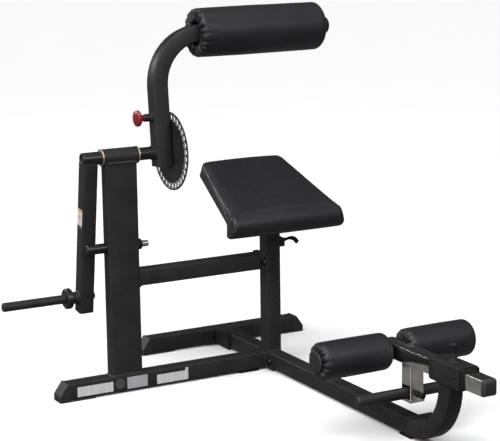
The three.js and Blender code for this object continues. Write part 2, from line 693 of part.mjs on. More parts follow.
function buildLegUpright() {
  const back = BEAM_FRONT - GAP;
  const flange = legFlange(back - PLATE, back).translate(0, 0, TUBE_MID);
  add('leg_upright', join(sweptTube(TUBE, WALL, legStations()), flange), POWDER);
}

// The sleeve that the slide tube runs in, with a plastic bush in each end.
function buildSleeve() {
  const { outer, wall, rear, front, z } = SLEEVE;
  const sleeve = squareTube(outer, outer, wall, front, rear, 'y', 5);
  const pinHole = rod(LEG_PIN.r + 1, 0, outer, 'z', 12).translate(0, LEG_PIN.y, 0);
  add('slide_sleeve', cut(sleeve, pinHole), POWDER, [0, 0, z]);

  const fill = outer - 2 * wall - 2 * GAP;
  const lip = outer - 4;
  const size = SLIDE.size + 2 * GAP;
  const bore = prism(roundRect(size, size, 4), [], -50, 50, 'y').translate(0, 0, SLIDE.z - z);
  const bush = (from, to) => cut(join(
    prism(roundRect(fill, fill, 3.5), [], Math.min(from, 0), Math.max(from, 0), 'y'),
    prism(roundRect(lip, lip, 4), [], Math.min(to, 0), Math.max(to, 0), 'y'),
  ), bore);
  add('sleeve_bush_front', bush(32, -9), PLASTIC, [0, front - GAP, z]);
  add('sleeve_bush_rear', bush(-32, 5), PLASTIC, [0, rear + GAP, z]);
}

// The spring pin that holds the slide tube in the sleeve.
function buildLegPin() {
  const { y, r, top } = LEG_PIN;
  const face = SLEEVE.z + SLEEVE.outer / 2;
  const barrel = ringProfile([
    [r + 0.6, GAP], [14, GAP], [14, 5], [9, 7], [8, 12], [8, 24], [r + 0.6, 24],
  ]);
  add('leg_pin_barrel', turned(barrel, 'z', 20), POWDER, [0, y, face]);
  const tip = SLIDE.z + SLIDE.size / 2 + 0.6 - face;
  add('leg_pin', turned([[0, tip], [r, tip], [r, top], [0, top]], 'z', 12), ZINC, [0, y, face]);
  const bore = r + GAP;
  const knob = turned([
    [0, top + GAP], [bore, top + GAP], [bore, 25], [10, 25], [11, 28], [11, top - 6],
    [13, top - 4], [13, top + 1], [10, top + 5], [0, top + 5],
  ], 'z', 20);
  add('leg_pin_knob', knob, PLASTIC, [0, y, face]);
}

function buildSlide() {
  const { size, wall, rear, front, pitch } = SLIDE;
  const tube = squareTube(size, size, wall, front, rear, 'y', 4);
  const axleHole = rod(CALF.axle + GAP, -40, 40, 'x', 20).translate(0, CALF.y, CALF.z - SLIDE.z);
  const pinHoles = [];
  for (let step = -3; step <= 2; step += 1) {
    const hole = rod(LEG_PIN.r + 0.8, 0, size, 'z', 10);
    pinHoles.push(hole.translate(0, LEG_PIN.y + step * pitch, 0));
  }
  add('slide_tube', cut(tube, axleHole, ...pinHoles), CHROME, [0, 0, SLIDE.z]);
  add('slide_cap', slideCap(), PLASTIC, [0, front - GAP, SLIDE.z]);
}

// The plug in the slide tube's front end, whose edges are rounded in steps.
function slideCap() {
  const { size, wall } = SLIDE;
  const { depth, round } = SLIDE_CAP;
  const inside = size - 2 * wall - 2 * GAP;
  const steps = 4;
  const layers = [prism(roundRect(inside, inside, 2), [], -1, 20, 'y')];
  for (let i = 0; i < steps; i += 1) {
    const angle = (Math.PI / 2) * ((i + 0.5) / steps);
    const width = size - 2 * round * (1 - Math.cos(angle));
    const front = -(depth - round) - round * Math.sin((Math.PI / 2) * ((i + 1) / steps));
    layers.push(prism(roundRect(width, width, 5), [], front, 0, 'y'));
  }
  return join(...layers);
}

// The plates under the slide tube that carry the foot bar.
function buildFootBracket() {
  const { y, width, depth, bottom, plate, wall, notch } = BRACKET;
  const top = SLIDE.z - SLIDE.size / 2 - GAP;
  const column = squareTube(width, depth, wall, bottom, top, 'z', 3);
  const between = depth / 2 - wall;
  const sides = box(-width, width, -between, between, bottom - 1, notch);
  const base = box(-width / 2 - 1, width / 2 + 1, -depth / 2 - 2, depth / 2 + 2, bottom, bottom + plate);
  const boltHole = rod(5 + GAP, -depth, 0, 'y', 12).translate(0, 0, FOOT_BAR.z);
  add('foot_bracket', cut(join(cut(column, sides), base), boltHole), CHROME, [0, y, 0]);
}

function buildFootBar() {
  const { r, wall, half, z } = FOOT_BAR;
  const at = [0, BRACKET.y, z];
  add('foot_bar', pipe(r, r - wall, -half, half, 'x'), POWDER, at);
  const near = -r - GAP;
  const face = -BRACKET.depth / 2;
  const bolt = turned([
    [0, near], [5, near], [5, face - GAP], [9, face - GAP], [9, face - 7], [5.5, face - 9],
    [5.5, face - 15], [8.5, face - 16], [8.5, face - 29], [7, face - 31], [0, face - 31],
  ], 'y', 16);
  add('foot_bar_bolt', bolt, PLASTIC, at);
}

function buildCalfRollers() {
  const { y, z, r, inner, outer, disc, axle, core } = CALF;
  const at = [0, y, z];
  const end = outer + 3;
  const rodProfile = [
    [0, -end], [axle - 1, -end], [axle, 1 - end], [axle, end - 1], [axle - 1, end], [0, end],
  ];
  add('roller_axle', turned(rodProfile, 'x', 20), ZINC, at);
  const spool = ringProfile([
    [axle + 0.5, inner], [disc, inner], [disc, inner + 3], [core, inner + 3], [core, outer - 3],
    [disc, outer - 3], [disc, outer], [axle + 0.5, outer],
  ]);
  const foam = ringProfile([
    [core + GAP, inner + 4], [core + GAP, outer - 4], [r - 10, outer - 4], [r - 2, outer - 9],
    [r, outer - 20], [r, inner + 20], [r - 2, inner + 9], [r - 10, inner + 4],
  ]);
  [['left', Math.PI], ['right', 0]].forEach(([side, turn]) => {
    add(`calf_spool_${side}`, turned(spool, 'x', 24).rotateZ(turn), PLASTIC, at);
    add(`calf_roller_${side}`, turned(foam, 'x', 24).rotateZ(turn), VINYL, at);
  });
}

// ---------------------------------------------------------------- assembly

function buildFrame() {
  buildRearFoot();
  buildFrontFoot();
  buildBeam();
  buildRearBracket();
  buildUpright();
  buildBushings();
  buildStop();
  buildCrossbar();
}

function buildSeat() {
  buildSeatPost();
  buildSeatCollar();
  buildLeverBracket();
  buildSeatLever();
  buildSeatPad();
  buildInnerPost();
}

function buildLever() {
  buildAxle();
  const weightSide = tiltedGroup([WEIGHT_ARM.x, 0, PIVOT_Z], WEIGHT_ARM.tilt);
  buildWeightArm(weightSide);
  buildWeightPost(weightSide);
  buildSelectorDisc();
  const rollerSide = tiltedGroup([ARM_X, 0, PIVOT_Z], ARM_TILT);
  buildRollerArm(rollerSide);
  buildArmPin(rollerSide);
  buildUpperRoller(rollerSide);
}

function buildLegHolder() {
  buildLegUpright();
  buildSleeve();
  buildLegPin();
  buildSlide();
  buildFootBracket();
  buildFootBar();
  buildCalfRollers();
}

buildFrame();
buildSeat();
buildLever();
buildLegHolder();

const bounds = new THREE.Box3().setFromObject(model);
const centre = bounds.getCenter(new THREE.Vector3());
model.position.set(-centre.x, -centre.y, -bounds.min.z);

export default model;
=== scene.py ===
"""Visual model of a plate-loaded roman chair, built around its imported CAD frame.

Sizes below are millimetres in the machine's own frame: x = 0 is the middle of the main beam,
y = 0 the plane of the pivot, z = 0 the floor. place() turns them into the row frame's metres.
"""

import json
import math
import random

import bmesh
import bpy
from mathutils import Matrix, Vector, noise
from mathutils.bvhtree import BVHTree


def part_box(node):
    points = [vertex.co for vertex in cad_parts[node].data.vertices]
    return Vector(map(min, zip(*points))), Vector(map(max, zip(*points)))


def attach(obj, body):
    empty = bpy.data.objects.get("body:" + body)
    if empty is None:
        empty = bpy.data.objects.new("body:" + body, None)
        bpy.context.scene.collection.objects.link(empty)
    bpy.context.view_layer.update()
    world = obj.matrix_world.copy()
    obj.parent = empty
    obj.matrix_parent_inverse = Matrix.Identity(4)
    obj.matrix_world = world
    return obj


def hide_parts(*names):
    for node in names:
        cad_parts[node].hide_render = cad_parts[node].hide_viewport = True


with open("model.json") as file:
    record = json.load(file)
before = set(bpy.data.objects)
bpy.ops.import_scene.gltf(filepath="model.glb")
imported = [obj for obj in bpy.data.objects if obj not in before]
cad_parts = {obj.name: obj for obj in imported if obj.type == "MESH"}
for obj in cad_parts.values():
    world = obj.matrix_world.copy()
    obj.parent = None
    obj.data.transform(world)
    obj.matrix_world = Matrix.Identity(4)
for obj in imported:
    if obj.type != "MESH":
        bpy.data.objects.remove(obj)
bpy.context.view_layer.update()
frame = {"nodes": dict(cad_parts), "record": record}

# ---------------------------------------------------------------- the machine's frame

MM = 0.001
REAR_LOW, REAR_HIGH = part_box("rear_foot")
REAR_FOOT_Y = 337
ORIGIN = Vector((
    (REAR_LOW.x + REAR_HIGH.x) / 2,
    (REAR_LOW.y + REAR_HIGH.y) / 2 - REAR_FOOT_Y * MM,
    0,
))

TUBE_TOP = 55
TUBE_MID = 30
PIVOT_Z = 718
WEIGHT_ARM_X = -602.5
WEIGHT_ARM_TILT = 8.6
ARM_X = -366
ARM_TILT = -5
SEAT_Y, SEAT_Z, SEAT_TILT = 36, 581, 23
CALF_Y, CALF_Z = -701, 223
CROSSBAR_Z = 347.5
FOOT_BAR_Y, FOOT_BAR_Z, FOOT_BAR_HALF = -793.5, 124.2, 179
ROLLER_UP = 346             # pivot to the upper roller's axis, along the roller arm
DISC_HOLES, DISC_CIRCLE = 32, 105


def place(x, y, z):
    return ORIGIN + Vector((x, y, z)) * MM


def machine(x=0, y=0, z=0, tilt=0):
    """Local millimetres to the row frame, for a member that stands at a point and leans about X."""
    lean = Matrix.Rotation(math.radians(tilt), 4, "X")
    return Matrix.Translation(place(x, y, z)) @ lean @ Matrix.Scale(MM, 4)


FLAT = machine()
WEIGHT_ARM = machine(WEIGHT_ARM_X, 0, PIVOT_Z, WEIGHT_ARM_TILT)
ROLLER_ARM = machine(ARM_X, 0, PIVOT_Z, ARM_TILT)
SEAT = machine(0, SEAT_Y, SEAT_Z, SEAT_TILT)

# ---------------------------------------------------------------- shaders


class Shader:
    """A Principled material whose colour, roughness and bump come from nodes."""

    def __init__(self, name, **values):
        self.material = bpy.data.materials.new(name)
        self.material.use_nodes = True
        self.tree = self.material.node_tree
        self.surface = self.tree.nodes["Principled BSDF"]
        for socket, value in values.items():
            self.surface.inputs[socket.replace("_", " ")].default_value = value
        self.coords = self.node("ShaderNodeTexCoord").outputs["Object"]

    def node(self, kind, **settings):
        node = self.tree.nodes.new(kind)
        for name, value in settings.items():
            setattr(node, name, value)
        return node

    def link(self, source, target):
        self.tree.links.new(source, target)

    def stretched(self, stretch):
        mapping = self.node("ShaderNodeMapping")
        mapping.inputs["Scale"].default_value = stretch
        self.link(self.coords, mapping.inputs["Vector"])
        return mapping.outputs["Vector"]

    def noise(self, scale, detail=3, stretch=None):
        node = self.node("ShaderNodeTexNoise")
        node.inputs["Scale"].default_value = scale
        node.inputs["Detail"].default_value = detail
        self.link(self.stretched(stretch) if stretch else self.coords, node.inputs["Vector"])
        return node.outputs["Fac"]

    def cells(self, scale, feature="SMOOTH_F1"):
        node = self.node("ShaderNodeTexVoronoi", feature=feature)
        node.inputs["Scale"].default_value = scale
        self.link(self.coords, node.inputs["Vector"])
        return node.outputs["Distance"]

    def remap(self, source, low, high, to_low, to_high):
        node = self.node("ShaderNodeMapRange")
        for name, value in (("From Min", low), ("From Max", high), ("To Min", to_low), ("To Max", to_high)):
            node.inputs[name].default_value = value
        self.link(source, node.inputs["Value"])
        return node.outputs["Result"]

    def mix(self, factor, first, second):
        """first and second are colours or colour outputs."""
        node = self.node("ShaderNodeMix", data_type="RGBA")
        self.link(factor, node.inputs["Factor"])
        for socket, value in ((node.inputs[6], first), (node.inputs[7], second)):
            if isinstance(value, tuple):
                socket.default_value = (*value, 1)
            else:
                self.link(value, socket)
        return node.outputs[2]

    def colour(self, output):
        self.link(output, self.surface.inputs["Base Color"])

    def roughness(self, output):
        self.link(output, self.surface.inputs["Roughness"])

    def rounded(self, radius):
        """Rounds hard edges in the shading only. Gives the normal and a mask of the edges."""
        bevel = self.node("ShaderNodeBevel", samples=6)
        bevel.inputs["Radius"].default_value = radius
        flat = self.node("ShaderNodeNewGeometry").outputs["Normal"]
        dot = self.node("ShaderNodeVectorMath", operation="DOT_PRODUCT")
        self.link(bevel.outputs["Normal"], dot.inputs[0])
        self.link(flat, dot.inputs[1])
        return bevel.outputs["Normal"], self.remap(dot.outputs["Value"], 0.995, 0.88, 0, 1)

    def bump(self, height, distance, normal=None):
        node = self.node("ShaderNodeBump")
        node.inputs["Distance"].default_value = distance
        self.link(height, node.inputs["Height"])
        if normal is not None:
            self.link(normal, node.inputs["Normal"])
        self.link(node.outputs["Normal"], self.surface.inputs["Normal"])


def coated(name, dark, light, edge, rough, grain, depth, radius=0.0012, **values):
    """A paint or moulding: two close shades, a paler edge that is partly edge wear and partly a painted edge
    highlight, and a fine surface texture.
    """
    shader = Shader(name, **values)
    normal, edge_wear_and_highlight = shader.rounded(radius)
    shade = shader.mix(shader.remap(shader.noise(14), 0.35, 0.65, 0, 1), dark, light)
    patchy = shader.remap(shader.noise(60, 4), 0.35, 0.7, 0.35, 1)
    # Paler colour along the edges, broken up by noise: partly edge wear, partly a painted edge highlight.
    amount = shader.node("ShaderNodeMath", operation="MULTIPLY")
    shader.link(edge_wear_and_highlight, amount.inputs[0])
    shader.link(patchy, amount.inputs[1])
    shader.colour(shader.mix(amount.outputs[0], shade, edge))
    shader.roughness(shader.remap(shader.noise(35), 0.3, 0.7, *rough))
    shader.bump(shader.noise(grain, 2), depth, normal)
    return shader.material


def metal(name, dark, light, rough, stretch, depth=0.00004, **values):
    """A plated or ground metal with fine lines along one direction."""
    shader = Shader(name, Metallic=1.0, **values)
    normal, _ = shader.rounded(0.0008)
    lines = shader.noise(260, 4, stretch)
    shader.colour(shader.mix(shader.remap(shader.noise(24, 3), 0.35, 0.65, 0, 1), dark, light))
    shader.roughness(shader.remap(lines, 0.3, 0.7, *rough))
    shader.bump(lines, depth, normal)
    return shader.material


def vinyl(name, dark, light):
    """Upholstery vinyl: pebble grain with painted shade in its hollows, a soft sheen and a slight random
    unevenness of tone.
    """
    shader = Shader(name, Sheen_Weight=0.05, Sheen_Roughness=0.45, Specular_IOR_Level=0.42)
    grain = shader.cells(620)
    shade = shader.mix(shader.remap(shader.noise(9, 4), 0.35, 0.65, 0, 1), dark, light)
    # The hollows of the pebble grain are painted up to 30 % towards near black: painted shade.
    shader.colour(shader.mix(shader.remap(grain, 0.1, 0.7, 0.3, 0), shade, (0.003, 0.003, 0.004)))
    shader.roughness(shader.remap(shader.noise(45, 3), 0.3, 0.7, 0.36, 0.48))
    height = shader.node("ShaderNodeMath", operation="MULTIPLY_ADD")
    height.inputs[1].default_value = 0.4
    shader.link(shader.noise(90, 3), height.inputs[0])
    shader.link(grain, height.inputs[2])
    shader.bump(height.outputs[0], 0.00022)
    return shader.material


def plywood(name):
    shader = Shader(name, Roughness=0.75, Specular_IOR_Level=0.25)
    figure = shader.noise(30, 5, (1, 8, 8))
    fibres = shader.noise(300, 4, (0.15, 1, 1))
    tone = shader.mix(shader.remap(figure, 0.3, 0.7, 0, 1), (0.20, 0.12, 0.06), (0.38, 0.25, 0.14))
    shader.colour(shader.mix(shader.remap(fibres, 0.35, 0.75, 0, 0.5), tone, (0.12, 0.07, 0.035)))
    shader.bump(fibres, 0.0002)
    return shader.material


def printed(name, paper, ink, rule_pitch):
    """A blank sticker: paper with a few pale rules and no lettering."""
    shader = Shader(name, Specular_IOR_Level=0.4)
    wave = shader.node("ShaderNodeTexWave", wave_type="BANDS", bands_direction="Z")
    wave.inputs["Scale"].default_value = 0.1 / rule_pitch * 3.14
    wave.inputs["Distortion"].default_value = 0
    shader.link(shader.coords, wave.inputs["Vector"])
    patches = shader.remap(shader.noise(110, 2, (1, 1, 0.05)), 0.44, 0.5, 0, 1)
    both = shader.node("ShaderNodeMath", operation="MULTIPLY")
    shader.link(shader.remap(wave.outputs["Fac"], 0.72, 0.86, 0, 0.55), both.inputs[0])
    shader.link(patches, both.inputs[1])
    shader.colour(shader.mix(both.outputs[0], paper, ink))
    shader.roughness(shader.remap(shader.noise(40), 0.3, 0.7, 0.3, 0.42))
    return shader.material


# The third colour of each coated finish is its paler edge: partly wear, partly a painted edge highlight.
POWDER = coated(
    "powder_coat", (0.0165, 0.0165, 0.0172), (0.0225, 0.0225, 0.0232), (0.048, 0.048, 0.050),
    (0.34, 0.46), 900, 0.00010, Specular_IOR_Level=0.2,
)
PLASTIC = coated(
    "black_plastic", (0.0055, 0.0055, 0.006), (0.0085, 0.0085, 0.009), (0.022, 0.022, 0.024),
    (0.4, 0.54), 1400, 0.00006, 0.002, Specular_IOR_Level=0.2,
)
CAP_PLASTIC = coated(
    "cap_plastic", (0.015, 0.015, 0.0155), (0.021, 0.021, 0.0215), (0.065, 0.065, 0.067),
    (0.32, 0.44), 1400, 0.00005, 0.004, Specular_IOR_Level=0.4,
)
RUBBER = coated(
    "rubber", (0.0055, 0.0055, 0.006), (0.0085, 0.0085, 0.009), (0.016, 0.016, 0.017),
    (0.6, 0.8), 700, 0.00012, 0.0015, Specular_IOR_Level=0.2,
)
GLOSS_BLACK = coated(
    "gloss_black", (0.0065, 0.0065, 0.0075), (0.0105, 0.0105, 0.012), (0.034, 0.034, 0.037),
    (0.16, 0.26), 300, 0.00003, Specular_IOR_Level=0.4,
)
RED = coated(
    "red_plastic", (0.17, 0.006, 0.008), (0.24, 0.011, 0.013), (0.32, 0.04, 0.04),
    (0.2, 0.3), 800, 0.00003, Specular_IOR_Level=0.4, Coat_Weight=0.25, Coat_Roughness=0.12,
)
NICKEL = metal("nickel", (0.72, 0.70, 0.67), (0.90, 0.88, 0.85), (0.11, 0.18), (1, 0.04, 1), 0.000006)
NICKEL_UPRIGHT = metal(
    "nickel_plate", (0.76, 0.72, 0.66), (0.92, 0.88, 0.82), (0.22, 0.32), (1, 1, 0.06), 0.00001,
)
CHROME = metal("chrome", (0.42, 0.42, 0.43), (0.62, 0.62, 0.63), (0.08, 0.2), (0.05, 1, 1), 0.00001)
ZINC = metal("zinc", (0.22, 0.22, 0.22), (0.36, 0.36, 0.355), (0.3, 0.48), (0.3, 1, 1), 0.00002)
ZINC_BLACK = metal(
    "blackened_zinc", (0.03, 0.03, 0.032), (0.055, 0.055, 0.057), (0.3, 0.45), (0.3, 1, 1), 0.00002,
)
BRONZE = metal("bronze", (0.60, 0.50, 0.38), (0.74, 0.64, 0.51), (0.34, 0.46), (1, 0.2, 0.2), 0.00001)
VINYL = vinyl("vinyl", (0.0062, 0.0062, 0.0084), (0.0092, 0.0092, 0.0120))
WOOD = plywood("plywood")
STICKER = printed("blank_sticker", (0.60, 0.60, 0.61), (0.22, 0.22, 0.24), 0.0052)
SILVER_STICKER = printed("silver_sticker", (0.38, 0.38, 0.41), (0.24, 0.24, 0.27), 0.0047)
BAND = coated(
    "sticker_band", (0.48, 0.30, 0.17), (0.56, 0.36, 0.22), (0.6, 0.42, 0.3), (0.3, 0.42), 500, 0.00002,
)
RIM_WHITE = coated(
    "rim_white", (0.5, 0.5, 0.5), (0.62, 0.62, 0.62), (0.7, 0.7, 0.7), (0.35, 0.5), 600, 0.00002,
)
EMBLEM = coated(
    "blank_emblem", (0.04, 0.037, 0.036), (0.065, 0.06, 0.058), (0.10, 0.095, 0.09), (0.28, 0.4), 240, 0.0001,
)

SLOT_MATERIALS = {
    "powder_coat": POWDER, "black_plastic": PLASTIC, "rubber": RUBBER, "bronze": BRONZE,
    "chrome": CHROME, "zinc": ZINC, "red_plastic": RED, "vinyl": VINYL, "wood": WOOD,
}
NODE_MATERIALS = {
    "slide_tube": NICKEL, "foot_bracket": NICKEL_UPRIGHT, "axle": GLOSS_BLACK,
    "front_cap": CAP_PLASTIC, "rear_cap_left": CAP_PLASTIC, "rear_cap_right": CAP_PLASTIC,
    "slide_cap": CAP_PLASTIC, "stop_sleeve": GLOSS_BLACK, "post_bumper": GLOSS_BLACK,
    "arm_pin": ZINC_BLACK, "leg_pin": ZINC_BLACK, "post_bolt": ZINC_BLACK, "axle_nut": ZINC_BLACK,
    "lever_pin": ZINC_BLACK, "roller_axle": ZINC_BLACK,
}

# ---------------------------------------------------------------- CAD nodes


def smoothing_group(sharp_degrees=28):
    """Geometry nodes that join a CAD mesh's split corners and shade its round faces smooth."""
    group = bpy.data.node_groups.new("smooth_facets", "GeometryNodeTree")
    group.interface.new_socket("Geometry", in_out="INPUT", socket_type="NodeSocketGeometry")
    group.interface.new_socket("Geometry", in_out="OUTPUT", socket_type="NodeSocketGeometry")
    add = group.nodes.new
    start, end = add("NodeGroupInput"), add("NodeGroupOutput")
    plain = add("GeometryNodeRemoveAttribute")
    plain.inputs["Name"].default_value = "custom_normal"
    weld = add("GeometryNodeMergeByDistance")
    weld.inputs["Distance"].default_value = 0.00001
    smooth = add("GeometryNodeSetShadeSmooth")
    angle = add("GeometryNodeInputMeshEdgeAngle")
    sharp = add("FunctionNodeCompare")
    sharp.operation = "GREATER_THAN"
    sharp.inputs[1].default_value = math.radians(sharp_degrees)
    crease = add("GeometryNodeSetShadeSmooth")
    crease.domain = "EDGE"
    crease.inputs["Shade Smooth"].default_value = False
    for source, target in (
        (start.outputs[0], plain.inputs["Geometry"]),
        (plain.outputs["Geometry"], weld.inputs["Geometry"]),
        (weld.outputs["Geometry"], smooth.inputs["Geometry"]),
        (smooth.outputs["Geometry"], crease.inputs["Geometry"]),
        (angle.outputs["Unsigned Angle"], sharp.inputs[0]),
        (sharp.outputs["Result"], crease.inputs["Selection"]),
        (crease.outputs["Geometry"], end.inputs[0]),
    ):
        group.links.new(source, target)
    return group


def finish_cad_nodes():
    group = smoothing_group()
    slots = {part["node"]: part["material_slot"] for part in frame["record"]["subparts"]}
    for name, node in frame["nodes"].items():
        node.data.materials.clear()
        node.data.materials.append(NODE_MATERIALS.get(name, SLOT_MATERIALS[slots[name]]))
        modifier = node.modifiers.new("smooth_facets", "NODES")
        modifier.node_group = group


# ---------------------------------------------------------------- mesh building


def new_piece(name, vertices, faces, material, body, matrix=FLAT, smooth=None):
    """A mesh in the row frame from local points. smooth is the largest angle shaded smooth."""
    mesh = bpy.data.meshes.new(name)
    mesh.from_pydata([matrix @ Vector(v) for v in vertices], [], faces)
    mesh.validate()
    piece = bpy.data.objects.new(name, mesh)
    bpy.context.scene.collection.objects.link(piece)
    mesh.materials.append(material)
    work = bmesh.new()
    work.from_mesh(mesh)
    bmesh.ops.recalc_face_normals(work, faces=work.faces)
    for face in work.faces:
        face.smooth = smooth is not None
    for edge in work.edges:
        if smooth is not None and edge.calc_face_angle(0) > math.radians(smooth):
            edge.smooth = False
    work.to_mesh(mesh)
    work.free()
    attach(piece, body)
    return piece


class Build:
    """Collects rings of points and joins them into closed surfaces."""

    def __init__(self):
        self.vertices = []
        self.faces = []

    def loft(self, rings, closed=False):
        """Skins a list of equal rings. An open loft is capped at both ends."""
        first = len(self.vertices)
        count = len(rings[0])
        for ring in rings:
            self.vertices.extend(ring)
        total = len(rings)
        for i in range(total if closed else total - 1):
            a, b = first + i * count, first + (i + 1) % total * count
            for k in range(count):
                n = (k + 1) % count
                self.faces.append((a + k, a + n, b + n, b + k))
        if not closed:
            self.faces.append(tuple(first + k for k in reversed(range(count))))
            last = first + (total - 1) * count
            self.faces.append(tuple(last + k for k in range(count)))

    def piece(self, name, material, body, slot=None, matrix=FLAT, smooth=40):
        return new_piece(name, self.vertices, self.faces, material, body, matrix, smooth)


def axes_for(direction):
    """Two unit vectors square to a direction."""
    direction = direction.normalized()
    side = Vector((0, 0, 1)) if abs(direction.z) < 0.9 else Vector((0, 1, 0))
    u = direction.cross(side).normalized()
    return u, direction.cross(u).normalized()


def ring_about(centre, direction, radius, sides, shape=None):
    u, v = axes_for(direction)
    points = []
    for k in range(sides):
        angle = 2 * math.pi * k / sides
        r = shape(angle, radius) if shape else radius
        points.append(centre + u * (r * math.cos(angle)) + v * (r * math.sin(angle)))
    return points


def turned_rings(build, at, direction, profile, sides=32, shape=None):
    """Adds a solid turned about a direction: profile is a list of (distance, radius)."""
    at, direction = Vector(at), Vector(direction).normalized()
    build.loft([ring_about(at + direction * s, direction, r, sides, shape) for s, r in profile])


def turned(name, at, direction, profile, sides, material, body, slot=None, matrix=FLAT, smooth=40):
    """A piece turned about a direction."""
    build = Build()
    turned_rings(build, at, direction, profile, sides)
    build.piece(name, material, body, slot, matrix, smooth)


def hexagon(angle, radius):
    """Radius of a hexagon whose corners are at that radius, towards an angle."""
    third = math.pi / 3
    return radius * math.cos(math.pi / 6) / math.cos(angle % third - math.pi / 6)


def hex_head(build, at, direction, across, height):
    """A hexagonal head or nut with its corners chamfered, standing on its face at a point."""
    corner = across / 2 / math.cos(math.pi / 6)
    at, direction = Vector(at), Vector(direction).normalized()

    def cut_at(limit):
        return lambda angle, radius: min(hexagon(angle, radius), limit)

    rings = []
    chamfered = (
        (0, corner * 0.96), (height * 0.1, corner), (height * 0.86, corner), (height, across * 0.475),
    )
    for s, limit in chamfered:
        rings.append(ring_about(at + direction * s, direction, corner, 48, cut_at(limit)))
    build.loft(rings)


def bolt(build, at, direction, across=16, thread=5, end=0):
    """A washer and a hex head, or with end > 0 a nut with the bolt's end standing out of it."""
    washer_top, pitch = 1.9, 1.25
    washer = [(0, across * 0.6), (0.2, across * 0.66), (1.6, across * 0.66), (washer_top, across * 0.6)]
    turned_rings(build, at, direction, washer, 40)
    top = Vector(at) + Vector(direction).normalized() * washer_top
    head = across * 0.42
    hex_head(build, top, direction, across, head)
    if end:
        start = head - 0.5
        profile = [(start, thread)]
        ridge = 0
        while start + ridge + pitch < start + end:
            profile += [(start + ridge + 0.6, thread), (start + ridge + 1.2, thread - 0.5)]
            ridge += pitch
        profile += [(start + end, thread - 0.7), (start + end + 0.6, thread - 1.6)]
        turned_rings(build, top, direction, profile, 28)


def rectangle_path(centre, u, v, half_u, half_v, corner=5, step=1.4):
    """Points round a rounded rectangle, evenly spaced, as (point, outward)."""
    points = []
    for k in range(4):
        su, sv = ((1, 1), (-1, 1), (-1, -1), (1, -1))[k]
        middle = centre + u * (su * (half_u - corner)) + v * (sv * (half_v - corner))
        for i in range(7):
            angle = (k + i / 6) * math.pi / 2
            outward = u * math.cos(angle) + v * math.sin(angle)
            points.append((middle + outward * corner, outward))
    spaced = []
    for (a, out_a), (b, out_b) in zip(points, points[1:] + points[:1]):
        steps = max(1, round((b - a).length / step))
        for i in range(steps):
            share = i / steps
            spaced.append((a.lerp(b, share), out_a.lerp(out_b, share).normalized()))
    return spaced


def weld(name, path, along, size, body, closed=True, matrix=FLAT):
    """A weld bead in a corner: path is (point, outward) pairs and along stands off the plate."""
    slope = (
        (-0.5, -0.5), (1.0, -0.5), (0.95, 0.12), (0.66, 0.46), (0.4, 0.72), (0.08, 1.0), (-0.5, 1.0),
    )
    build = Build()
    along = Vector(along).normalized()
    rings = []
    for i, (point, outward) in enumerate(path):
        ripple = 1 + 0.1 * math.cos(i * 2.1) + 0.12 * noise.noise(point * 0.09)
        reach = size * ripple
        rings.append([point + outward * (reach * a) + along * (reach * b) for a, b in slope])
    build.loft(rings, closed)
    return build.piece(name, POWDER, body, "powder_coat", matrix, 60)


X, Y, Z = Vector((1, 0, 0)), Vector((0, 1, 0)), Vector((0, 0, 1))


def square_weld(name, at, axis, half, body, size=4, halves=None, matrix=FLAT):
    """A bead round a square tube, standing on a plate that faces along the axis."""
    u, v = {"x": (Y, Z), "y": (Z, X), "z": (X, Y)}[axis[-1]]
    along = {"x": X, "y": Y, "z": Z}[axis[-1]] * (-1 if axis[0] == "-" else 1)
    half_u, half_v = halves or (half, half)
    return weld(name, rectangle_path(Vector(at), u, v, half_u, half_v), along, size, body, True, matrix)


def round_weld(name, at, along, radius, body, size=3.5, matrix=FLAT, arc=(0, 360)):
    along = Vector(along)
    u, v = axes_for(along)
    closed = arc == (0, 360)
    count = round(radius * math.radians(arc[1] - arc[0]) / 1.4)
    path = []
    for i in range(count if closed else count + 1):
        angle = math.radians(arc[0] + (arc[1] - arc[0]) * i / count)
        outward = u * math.cos(angle) + v * math.sin(angle)
        path.append((Vector(at) + outward * radius, outward))
    return weld(name, path, along, size, body, closed, matrix)


# ---------------------------------------------------------------- padded pieces


class Folds:
    """Uneven creases round a roller's end, which fade out along the roller."""

    def __init__(self, rng, count, depth, run):
        self.depth, self.run = depth, run
        self.spots = [2 * math.pi * (k + rng.uniform(-0.28, 0.28)) / count for k in range(count)]
        self.sizes = [(rng.uniform(0.35, 1.0), rng.uniform(0.5, 1.0)) for _ in range(count)]

    def at(self, angle, away):
        """How far the cover sinks at an angle, this far in from the end."""
        turn = 2 * math.pi
        i = max((k for k, spot in enumerate(self.spots) if spot <= angle), default=-1)
        start = self.spots[i] - (turn if i < 0 else 0)
        stop = self.spots[(i + 1) % len(self.spots)]
        stop += turn if stop <= start else 0
        here = angle - turn if angle >= start + turn else angle
        share = min(1.0, max(0.0, (here - start) / (stop - start)))
        size_a, reach_a = self.sizes[i]
        size_b, reach_b = self.sizes[(i + 1) % len(self.sizes)]
        blend = share * share * (3 - 2 * share)
        size = size_a + (size_b - size_a) * blend
        reach = reach_a + (reach_b - reach_a) * blend
        crease = 1 - max(0.0, math.sin(math.pi * share)) ** 0.6
        fade = max(0.0, 1 - away / (self.run * reach)) ** 1.5
        return self.depth * size * crease * fade


def end_profile(radius, corner, mouth, tuck, lip=6):
    """(distance in from the end, radius), from the mouth over the face and on to the cylinder."""
    points = [(tuck, mouth), (tuck * 0.6, mouth), (tuck * 0.25, mouth + lip * 0.1), (1.2, mouth + lip * 0.55)]
    points += [(0.4 * (1 - i / 5), mouth + lip + (radius - corner - mouth - lip) * i / 5) for i in range(6)]
    for i in range(1, 11):
        angle = math.pi / 2 * i / 10
        points.append((corner * (1 - math.cos(angle)), radius - corner + corner * math.sin(angle)))
    return points


